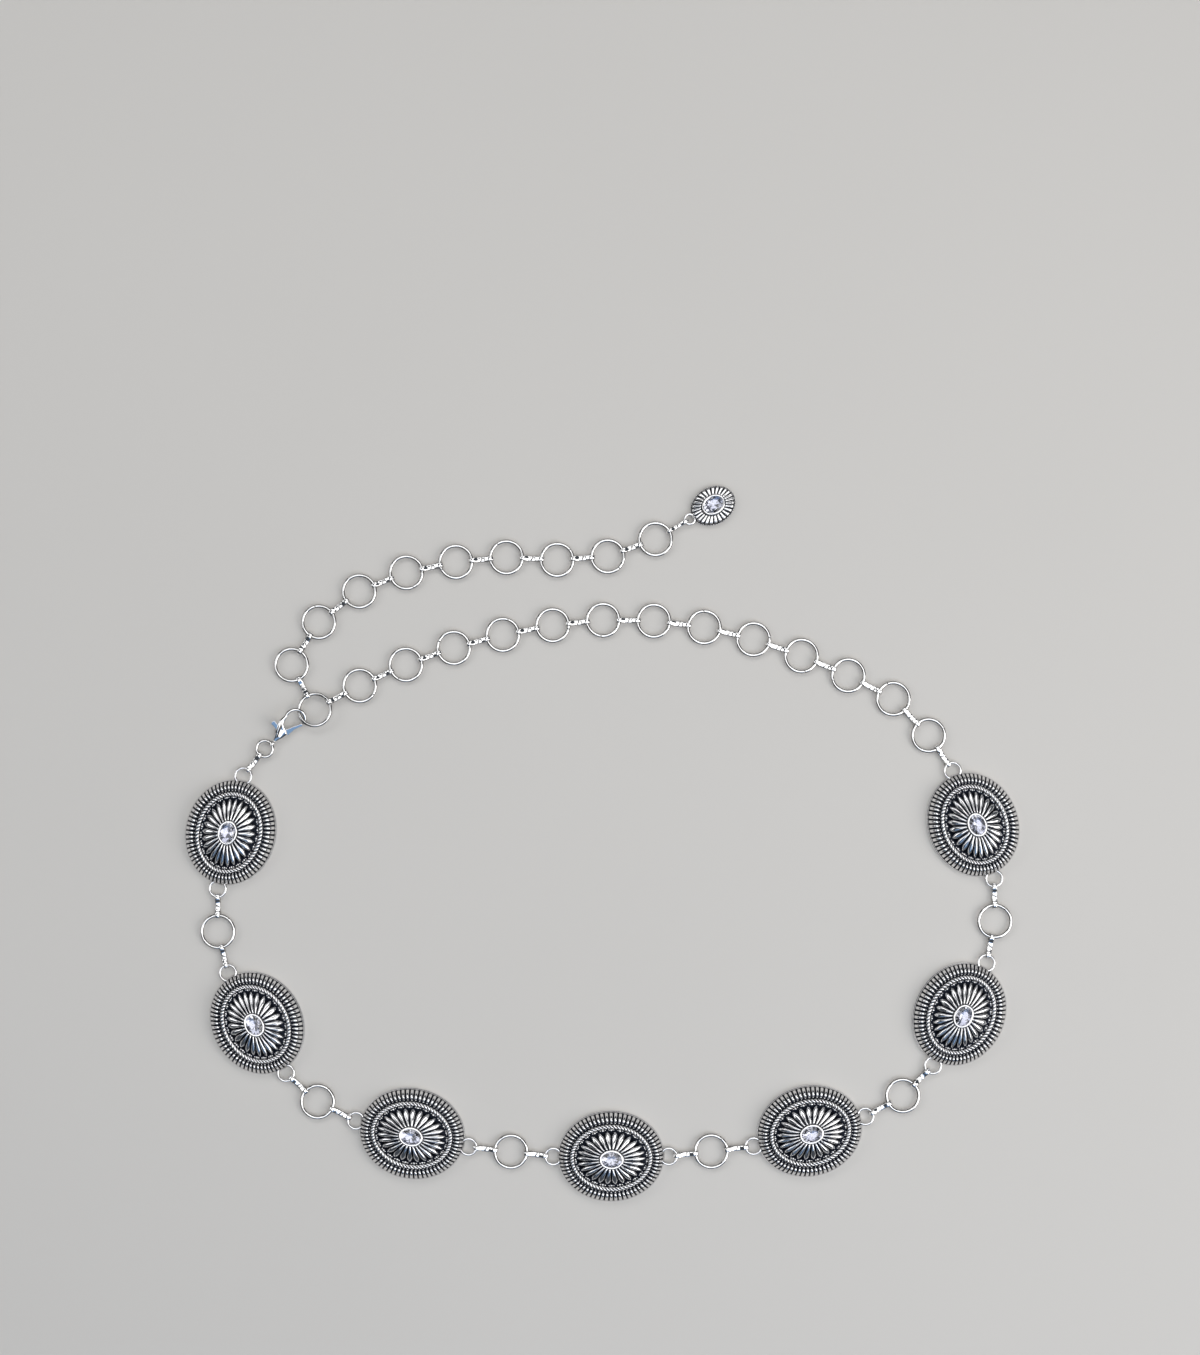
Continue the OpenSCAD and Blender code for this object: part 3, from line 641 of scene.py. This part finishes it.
def conchoRelief(s, t):
    # Height and recess at inset s from the edge and angle t, band by band from the edge inwards
    lie = share(t, concho["ribs"])
    flank = edge["low"] + (edge["high"] - edge["low"]) * np.sqrt(s / edge["wide"])
    relief = laid(conchoRibs(s, lie), s < edge["wide"], (flank, 0.0))
    relief = laid(relief, s > rib["to"], conchoGroove(s, lie))
    relief = laid(relief, np.abs(s - rope["at"]) < rope["half"], conchoRope(s, t))
    relief = laid(relief, s >= rope["at"] + rope["half"], conchoField(s, t))
    high, dark = laid(relief, s > petal["from"], conchoPetals(s, t, relief))
    return high, np.clip(dark, 0, 1)


def conchoPart():
    c = concho
    t = np.linspace(0, whole, c["columns"], endpoint=False)
    (a, b), (ba, bb) = c["half"], bezel["half"]
    inRope = np.sin(np.linspace(-np.pi / 2, np.pi / 2, c["ropeRows"])) * c["ropeInside"]
    first, count = c["petalRows"]
    petalRows = first + (petal["to"] - first) * np.linspace(0, 1, count) ** c["petalCrowd"]
    insets = np.concatenate([c["edgeRows"], np.linspace(*c["ribRows"]), c["grooveRows"],
                             rope["at"] + rope["half"] * inRope, c["fieldRows"], petalRows])[:, None]
    high, dark = conchoRelief(insets, t)
    even = c["evenTo"]
    onwards = np.clip((insets - even) / (a - ba - even), 0, 1)
    halfB = np.where(insets < even, b - insets, (b - even) + (bb - (b - even)) * onwards)
    relief = np.stack([(a - insets) * np.cos(t), halfB * np.sin(t), high], -1)
    ridgeA, ridgeB = ((outer - even) * (1 - c["ridgeShare"]) + inner * c["ridgeShare"]
                      for outer, inner in ((a, ba), (b, bb)))
    hollow = [(ba, bb, c["top"] - bezel["pocketDeep"] - c["wall"]), (ridgeA, ridgeB, c["ridgeHigh"]),
              (a - c["hollowIn"], b - c["hollowIn"], groove["high"] - c["wall"]),
              (a - c["wall"], b - c["wall"], 0), (a, b, 0)]
    back = ovalRows([(*row, rowDark) for row, rowDark in zip(hollow, c["backDark"])], t)
    front = ovalRows(bezelRows(c["top"], c["bezelSteps"]), t)
    casting = surface(np.concatenate([back[0], relief, front[0]]), np.concatenate([back[1], dark, front[1]]))
    # Each lug's wire gets painted shade on its sides, as the rings do
    lug = wireLoop(c["lugRing"], c["lugWire"], seam=False, sideShading=c["lugShade"])
    ends = [placed(lug, [side * (a + c["lugOut"]), 0, c["lugHigh"]], np.eye(3)) for side in (-1, 1)]
    return joined([casting] + ends)


# Stones

stone = {"half": (4.0, 3.0), "facets": 8, "table": 0.56, "star": 0.78, "starHigh": 0.6, "crown": 0.9,
         "girdle": 0.15, "pavilion": 1.3, "lower": 0.55, "lowerDeep": 0.62, "point": 0.12}


def stonePart():
    # Rings of points on ovals: table, stars between its corners, girdle above and below with twice as many,
    # a lower ring and the end of the pavilion. The middle of the table and the point below come last
    a, b = stone["half"]
    n = stone["facets"]

    def ring(count, scale, z, shift=0.0):
        angle = whole * (np.arange(count) + shift) / count
        return np.stack([a * scale * np.cos(angle), b * scale * np.sin(angle), np.full(count, z)], -1)

    top, bottom = stone["girdle"] + stone["crown"], -stone["pavilion"]
    rings = [ring(n, stone["table"], top), ring(n, stone["star"], top * stone["starHigh"], 0.5),
             ring(2 * n, 1.0, stone["girdle"]), ring(2 * n, 1.0, 0.0),
             ring(n, stone["lower"], bottom * stone["lowerDeep"], 0.5), ring(n, stone["point"], bottom)]
    points = np.concatenate(rings + [[[0, 0, top], [0, 0, bottom]]])
    table, star, upper, lower, deep, point, middle = np.cumsum([0] + [len(one) for one in rings])
    k = np.arange(n)
    after = (k + 1) % n
    even, odd, beyond = 2 * k, 2 * k + 1, (2 * k + 2) % (2 * n)
    corners = [
        (middle, table + k, table + after), (table + k, star + k, table + after),
        (star + k, upper + even, upper + odd), (star + k, upper + odd, upper + beyond),
        (table + after, star + k, upper + beyond), (table + after, upper + beyond, star + after),
        (deep + k, lower + odd, lower + even), (deep + k, lower + beyond, lower + odd),
        (point + after, lower + beyond, deep + k), (point + after, deep + after, lower + beyond),
        (point + k, point + after, deep + k), (middle + 1, point + after, point + k)]
    tris = np.concatenate([np.stack(np.broadcast_arrays(*three), -1) for three in corners])
    m = np.arange(2 * n)
    ahead = (m + 1) % (2 * n)
    quads = np.stack([upper + m, lower + m, lower + ahead, upper + ahead], -1)
    return outward((points, quads, tris, np.zeros(len(points))))


def placeStone(node):
    middle, axes, low = ovalLay(node)
    name = node + "_cut"
    part = placed(stonePart(), middle + [0, 0, low + stone["pavilion"]], axes)
    makePiece(name, meshOf(name, part), "cut_stone", [node])


def placeCasting(node, part, middle, axes):
    name = node + "_cast"
    makePiece(name, meshOf(name, placed(part, middle, axes)), "antique_silver", [node], crease["cast"])


conchoMade = conchoPart()
for number in range(1, concho["count"] + 1):
    middle, axes, _ = ovalLay(f"stone_{number}")
    placeCasting(f"concho_{number}", conchoMade, middle, axes)
    placeStone(f"stone_{number}")
print("conchos and stones made, triangles in one:", 2 * len(conchoMade[1]) + len(conchoMade[2]))

for number in range(1, concho["count"]):
    wirePiece(f"spacer_ring_{number}")
    for side in "ab":
        wirePiece(f"spacer_link_{number}{side}", "_folded")
for node in ("lead_link", "clasp_ring", "extension_chain", "tail_chain"):
    wirePiece(node)
print("rings and eye links made")

# Pendant

pendant = {
    "half": (9.5, 7.5), "columns": 27 * 16, "ribs": 27, "back": 0.8, "top": 4.2,
    "bezelSteps": [(0, 1, 1), (0, 0.2, 0.2), (0.12, 0.04, 0), (0.35, 0, 0), (0.6, 0.04, 0), (0.7, 0.2, 0.2)],
    "rimRows": [0.0, 0.04, 0.1, 0.19, 0.28, 0.37, 0.46, 0.53], "ribRows": (0.58, 0.1, 15),
    # Beads on the rim, and the notches between them
    "beads": 54, "beadShare": 0.4, "beadHalf": 0.27, "beadFoot": 1.1, "beadRise": 0.5, "beadDark": 1.7,
    "notch": 0.22, "notchIn": 0.6,
    "ribFrom": 0.55, "ribLow": 1.75, "ribTop": 3.25, "ribRise": 0.7, "ribShare": 0.39, "ribDark": 1.05,
    "acrossPower": 5, "alongPower": 8, "bulge": 0.3,
    # The insets of the hollow back's wall and of its foot, and the recess there
    "wallIn": 1, "footIn": 0.24, "backDark": (0.4, 0.3, 0.2),
    # The eye: how far out it stands, its ring, wire and height, and the painted shade on its wire's sides
    "eyeOut": 1.2, "eyeRing": 2.0, "eyeWire": 1.0, "eyeHigh": 1.45, "eyeShade": 0.36}


def pendantPart():
    # Inset s from the edge: beads on the rim, a groove, ribs that rise to the bezel, the bezel and its pocket
    p = pendant
    (a, b), (ba, bb) = p["half"], bezel["half"]
    t = np.linspace(0, whole, p["columns"], endpoint=False)
    end = a - ba
    first, short, count = p["ribRows"]
    s = np.concatenate([p["rimRows"], np.linspace(first, end - short, count)])[:, None]
    inRim = s < p["ribFrom"]
    lie = share(t, p["beads"])
    bead = dome(lie / p["beadShare"]) * dome((s - p["beadHalf"]) / p["beadHalf"])
    up = np.clip((s - p["ribFrom"]) / (end - p["ribFrom"]), 0, 1)
    bar = dome(share(t, p["ribs"]) / p["ribShare"], p["acrossPower"]) * dome(2 * up - 1, p["alongPower"])
    rise = up * (1 + p["bulge"] - p["bulge"] * up)
    slope = p["ribLow"] + (p["ribTop"] - p["ribRise"] - p["ribLow"]) * rise
    high = np.where(inRim, p["beadFoot"] + p["beadRise"] * bead, slope + p["ribRise"] * bar)
    dark = np.clip(np.where(inRim, 1 - p["beadDark"] * bead, 1 - ease(bar * p["ribDark"])), 0, 1)
    notch = p["notch"] * (1 - dome(2 * lie)) * np.clip(1 - s / p["notchIn"], 0, 1)
    halfA, halfB = a - s - notch, b - s + (bb - (b - end)) * up - notch
    relief = np.stack([halfA * np.cos(t), halfB * np.sin(t), high], -1)
    hollow = [(ba, bb, p["top"] - bezel["pocketDeep"] - p["back"]),
              (a - p["wallIn"], b - p["wallIn"], 0), (a - p["footIn"], b - p["footIn"], 0)]
    back = ovalRows([(*row, rowDark) for row, rowDark in zip(hollow, p["backDark"])], t)
    front = ovalRows(bezelRows(p["top"], p["bezelSteps"]), t)
    casting = surface(np.concatenate([back[0], relief, front[0]]), np.concatenate([back[1], dark, front[1]]))
    # The eye's wire gets painted shade on its sides, as the rings do
    eye = wireLoop(p["eyeRing"], p["eyeWire"], seam=False, sideShading=p["eyeShade"])
    return joined([casting, placed(eye, [-a - p["eyeOut"], 0, p["eyeHigh"]], np.eye(3))])


middle, axes, _ = ovalLay("pendant_stone")
low, high = (np.array(corner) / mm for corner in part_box("pendant"))
# The pendant's box reaches furthest towards its eye, which lies against the first axis
toEye = ((low + high) / 2 - middle)[:2]
if toEye @ axes[0][:2] > 0:
    axes = axes * np.array([[-1], [-1], [1]])
placeCasting("pendant", pendantPart(), middle, axes)
placeStone("pendant_stone")
print("pendant made")

# Clasp

clasp = {
    "length": 17.9, "bow": 3.9, "wire": 1.15, "bowRise": 0.51, "noseTurn": -75, "heelTurn": 124,
    "pivot": (0.63, 0.28), "pin": (0.8, 1.8), "pinSteps": 24, "eyeRing": 1.4, "eyeWire": 0.8,
    # Both sides of the trunk, station by station from the eye to the heel of the bow, and the bow's stations
    "outer": [(1.1, 0.5), (2.4, 1.45), (3.7, 2.45), (4.9, 3.55), (6.0, 4.45), (7.1, 5.1), (8.1, 5.5),
              (9.2, 5.65)],
    "inner": [(1.1, -0.5), (2.9, -0.85), (4.5, -1.1), (5.9, -1.22), (7.1, -1.2), (7.75, 0.3), (8.15, 1.9),
              (8.8, 3.4)],
    "bowStations": 16, "steps": 96, "around": 48, "lastUnder": 1e-9,
    # Thickness of the trunk and at the eye, and the stations over which the eye's end turns into the trunk
    # and the trunk into the bow
    "trunk": 2.3, "tip": 0.95, "eyeFade": 2.2, "trunkTo": 4.5, "trunkFade": 4.5, "square": 0.25,
    "grooveAt": 0.42, "grooveWide": 0.13, "grooveDeep": 0.3, "grooveDark": 1.6, "grooveFace": 0.3,
    "bandDeep": 0.16, "bandFade": 0.12, "bandFrom": -0.25, "bandWiden": 0.22,
    "noseSteps": 5, "noseClose": 4.4,
    # What the lever sweeps, in shares of its reach, and the turns at which it is cut away
    "slot": 1.24, "hub": 1.47, "reach": 8.535, "sweptMost": 1.014, "hubSteps": 240, "leastTurn": 0.002,
    "gateSwept": [(0, 0.141), (1.014, -0.186), (1.014, -0.46), (0.117, -0.328), (-0.059, -0.141)],
    "gateTurns": (-6, 6.5, 25),
    "nubSwept": [(-0.129, 0), (0.117, 0), (0.117, 0.726), (-0.129, 0.726)],
    "nubTurns": (-3, 12.5, 28),
    # Distances at which points are welded, the angle in degrees below which the lever's flats are joined,
    # the one above which its edges are rounded, and the width and steps of that rounding
    "weld": 0.002, "leverWeld": 0.001, "flatTurn": 1, "edgeTurn": 35, "leverRound": 0.12, "roundSteps": 3}

hinge = frame["joints"][0]
claspUp = np.array(hinge["axis"])
claspUp /= np.linalg.norm(claspUp)
claspAlong = np.cross([0, 0, 1.0], claspUp)
claspAlong /= np.linalg.norm(claspAlong)
claspAxes = np.array([claspAlong, np.cross(claspUp, claspAlong), claspUp])
bowMiddle = np.array([clasp["length"] - clasp["bow"] - clasp["wire"] / 2, clasp["bow"] * clasp["bowRise"]])
pivot = np.array([(bowMiddle[0] - clasp["bow"]) * clasp["pivot"][0], clasp["bow"] * clasp["pivot"][1], 0])
claspOrigin = np.array(hinge["pos_m"]) / mm - pivot @ claspAxes


def circleAt(turns):
    return np.stack([np.cos(turns), np.sin(turns)], -1)


def throughPoints(points, count):
    # A smooth line through the points: each stretch is a cubic of its two ends and their two neighbours. The
    # last value stays just under its point, so that it still has a stretch
    p = np.concatenate([2 * points[:1] - points[1:2], points, 2 * points[-1:] - points[-2:-1]])
    t = np.linspace(0, len(points) - 1 - clasp["lastUnder"], count)
    i, f = t.astype(int), (t % 1)[:, None]
    a, b, c, d = (p[i + k] for k in range(4))
    square, cube = 2 * a - 5 * b + 4 * c - d, 3 * b - a - 3 * c + d
    return (2 * b + (c - a) * f + square * f ** 2 + cube * f ** 3) / 2


def claspSweep():
    # Two side lines run along the trunk and round the bow. Between them the section is a superellipse, nearly
    # square in the trunk and round in the bow. A groove and a hollow band follow the trunk's faces
    c = clasp
    circle = circleAt(np.radians(np.linspace(c["heelTurn"], c["noseTurn"], c["bowStations"])))
    sides = [np.concatenate([np.array(c[key]), bowMiddle + circle * (c["bow"] + way * c["wire"] / 2)])
             for key, way in (("outer", 1), ("inner", -1))]
    outer, inner = (throughPoints(side, c["steps"]) for side in sides)
    station = np.linspace(0, len(sides[0]) - 1, c["steps"])[:, None]
    inTrunk = 1 - ease((station - c["trunkTo"]) / c["trunkFade"])
    fromEye = ease(station / c["eyeFade"])
    half = c["tip"] / 2 + (c["trunk"] - c["tip"]) / 2 * fromEye
    half = half * inTrunk + c["wire"] / 2 * (1 - inTrunk)
    figure = inTrunk * fromEye
    angle = np.linspace(0, whole, c["around"], endpoint=False)[None, :]
    x, z = superOval(angle, 1 - c["square"] * figure)
    dent = bell(x - c["grooveAt"], c["grooveWide"]) * figure
    band = ease((c["grooveAt"] - x) / c["bandFade"]) * ease((x - c["bandFrom"]) / c["bandWiden"]) * figure
    level = half * z * (1 - c["grooveDeep"] * dent - c["bandDeep"] * band)
    across = (1 + x[..., None]) / 2
    flat = outer[:, None] * across + inner[:, None] * (1 - across)
    # The nose closes in a half round over the last steps
    last = np.clip((np.arange(c["steps"]) - (c["steps"] - c["noseSteps"])) / c["noseClose"], 0, 1)[:, None]
    shrink = dome(last)
    centre = (outer + inner)[:, None] / 2
    flat = centre + (flat - centre) * shrink[..., None]
    grid = np.concatenate([flat, (level * shrink)[..., None]], -1)
    # The groove is dark, and the sides of the bow get painted shade, as the rings' wires do
    dark = c["grooveDark"] * dent * (np.abs(z) > c["grooveFace"]) + (1 - inTrunk) * wireSideShade(x)
    return surface(grid, np.clip(dark, 0, 1))


def prism(outline, half, middle):
    # An outline carried from -half to half along the third axis, with a fan from its middle at each end
    rows = np.stack([np.column_stack([outline, np.full(len(outline), level)]) for level in (-half, half)])
    return surface(rows, np.zeros(rows.shape[:2]), poles=[[*middle, -half], [*middle, half]])


def leverSweep():
    # All that the lever sweeps, as one outline round its pin: each ray ends at the furthest of the hub and
    # the turned outlines. A ray leaves a convex outline at the nearest side that it faces, at the side's
    # offset over its normal times the ray
    c = clasp
    outlines = []
    for outline, turns in ((c["gateSwept"], c["gateTurns"]), (c["nubSwept"], c["nubTurns"])):
        for turn in np.radians(turns):
            spin = np.array([[np.cos(turn), np.sin(turn)], [-np.sin(turn), np.cos(turn)]])
            outlines.append(np.array(outline) * c["reach"] @ spin)
    corners = np.concatenate(outlines)
    angles = np.sort(np.concatenate([np.linspace(-np.pi, np.pi, c["hubSteps"], endpoint=False),
                                     np.arctan2(corners[:, 1], corners[:, 0])]))
    angles = angles[np.diff(angles, prepend=-whole) > c["leastTurn"]]
    rays = circleAt(angles)
    reach = np.full(len(angles), c["hub"])
    for outline in outlines:
        side = np.roll(outline, -1, 0) - outline
        normal = np.stack([side[:, 1], -side[:, 0]], -1)
        offset = (normal * outline).sum(1)
        outwards = np.sign(offset.sum())
        facing = rays @ (normal * outwards).T
        leaves = np.where(facing > 0, offset * outwards / np.where(facing > 0, facing, 1), np.inf)
        reach = np.maximum(reach, leaves.min(1))
    # The gate's tip swings on an arc, so nothing is cut beyond that arc and its clearance
    reach = np.minimum(reach, c["sweptMost"] * c["reach"])
    return prism(pivot[:2] + reach[:, None] * rays, c["slot"] / 2, pivot[:2])


def claspMesh(name, part):
    return meshOf(name, placed(part, claspOrigin, claspAxes))


def claspBody():
    # The swept body, less what the lever sweeps, with its eye and the lever's pin
    c = clasp
    body, tool = (newObject(name, claspMesh(name, part))
                  for name, part in (("sweptBody", claspSweep()), ("sweptLever", leverSweep())))
    cut = body.modifiers.new("slot", "BOOLEAN")
    cut.object, cut.operation, cut.solver, cut.use_self = tool, "DIFFERENCE", "EXACT", True
    bpy.context.view_layer.update()
    mesh = bpy.data.meshes.new_from_object(body.evaluated_get(bpy.context.evaluated_depsgraph_get()))
    for item in (body, tool):
        bpy.data.objects.remove(item)
    eye = wireLoop(c["eyeRing"], c["eyeWire"], seam=False, sideShading=0.0)
    # The eye's loop stands on its edge, its own third axis across the clasp
    upright = np.array([[1.0, 0, 0], [0, 0, 1], [0, -1, 0]])
    wide, long = c["pin"]
    around = circleAt(np.linspace(0, whole, c["pinSteps"], endpoint=False))
    pin = prism(pivot[:2] + wide / 2 * around, long / 2, pivot[:2])
    work = bmesh.new()
    work.from_mesh(mesh)
    # Slivers along the slot are welded away before the eye and the pin come in
    bmesh.ops.remove_doubles(work, verts=work.verts, dist=c["weld"] * mm)
    bmesh.ops.dissolve_degenerate(work, dist=c["weld"] * mm, edges=work.edges)
    bmesh.ops.triangulate(work, faces=[face for face in work.faces if len(face.verts) > 4])
    work.from_mesh(claspMesh("eyeAndPin", joined([placed(eye, [0, 0, 0], upright), pin])))
    work.to_mesh(mesh)
    work.free()
    mesh.name = "clasp_body_cast"
    makePiece(mesh.name, mesh, "polished_silver", ["clasp_body"], crease["clasp"])


def claspLever():
    # The node's own shape with its doubles merged, its flats joined and its edges rounded
    mesh = frame["nodes"]["clasp_lever"].data.copy()
    mesh.name = "clasp_lever_flat"
    work = bmesh.new()
    work.from_mesh(mesh)
    bmesh.ops.remove_doubles(work, verts=work.verts, dist=clasp["leverWeld"] * mm)
    bmesh.ops.dissolve_limit(work, angle_limit=radians(clasp["flatTurn"]), verts=work.verts, edges=work.edges)
    work.to_mesh(mesh)
    work.free()
    piece = makePiece(mesh.name, mesh, "polished_silver", ["clasp_lever"], crease["lever"], "lever")
    bevel = piece.modifiers.new("rounded", "BEVEL")
    bevel.width = clasp["leverRound"] * mm
    bevel.segments = clasp["roundSteps"]
    bevel.limit_method = "ANGLE"
    bevel.angle_limit = radians(clasp["edgeTurn"])


claspBody()
claspLever()
print("clasp made")

# Floor, light and camera. A light has its place, its two sizes, its power and its colour

studio = {
    "floor": {"tones": ((0.615, 0.595, 0.565, 1), (0.59655, 0.57715, 0.54805, 1)),
              "drift": {"Scale": 6.0, "Detail": 2.0}, "shader": {"Roughness": 0.75}},
    "floorSize": 4.0, "floorGap": 0.00002, "world": {"Color": (0.075, 0.085, 0.10, 1), "Strength": 0.8},
    "lights": {
        "northBox": ((0.05, 0.95, 1.0), (1.8, 0.6), 5.8, (1, 1, 1)),
        "eastBox": ((1.05, -0.35, 0.8), (1.1, 0.8), 9.0, (1, 0.99, 0.98)),
        "westBox": ((-1.05, 0.25, 0.7), (0.9, 0.5), 2.7, (0.98, 0.99, 1)),
        "blueBox": ((0.1, -0.75, 0.85), (1.3, 0.5), 1.05, (0.32, 0.58, 1)),
        "topBox": ((0.1, -0.12, 1.25), (1.3, 1.05), 7.6, (1, 1, 1))}}

bpy.context.scene.view_settings.view_transform = "Standard"
half, level = studio["floorSize"] / 2, -studio["floorGap"]
floorMesh = bpy.data.meshes.new("floor")
floorMesh.from_pydata([(x * half, y * half, level) for x, y in ((-1, -1), (1, -1), (1, 1), (-1, 1))],
                      [], [(0, 1, 2, 3)])
floorMesh.materials.append(driftMaterial("paleFloor", studio["floor"]))
floor = newObject("floor", floorMesh)

world = bpy.data.worlds.new("studio")
world.use_nodes = True
for key, value in studio["world"].items():
    world.node_tree.nodes["Background"].inputs[key].default_value = value
bpy.context.scene.world = world

for name, (place, size, power, tone) in studio["lights"].items():
    data = bpy.data.lights.new(name, "AREA")
    data.shape = "RECTANGLE"
    data.size, data.size_y = size
    data.energy = power
    data.color = tone
    lamp = newObject(name, data)
    lamp.location = place
    lamp.rotation_euler = (-Vector(place)).to_track_quat("-Z", "Y").to_euler()

# The camera looks straight down from over the foot, and its shift sets the photograph's frame:
# lens is the sensor times the height over the frame's long side, shift the way from foot to frame middle
view = {"foot": (-0.0168, 0.0195), "height": 0.7315, "level": 0.0015, "longSide": 0.5393,
        "middle": (-0.0009, 0.0662), "sensor": 36.0, "nearest": 0.01}
cameraData = bpy.data.cameras.new("camera")
cameraData.sensor_width = view["sensor"]
cameraData.lens = view["sensor"] * (view["height"] - view["level"]) / view["longSide"]
cameraData.shift_x = (view["middle"][0] - view["foot"][0]) / view["longSide"]
cameraData.shift_y = (view["middle"][1] - view["foot"][1]) / view["longSide"]
cameraData.clip_start = view["nearest"]
camera = newObject("camera", cameraData)
camera.location = (*view["foot"], view["height"])
bpy.context.scene.camera = camera
print("floor, light and camera set")
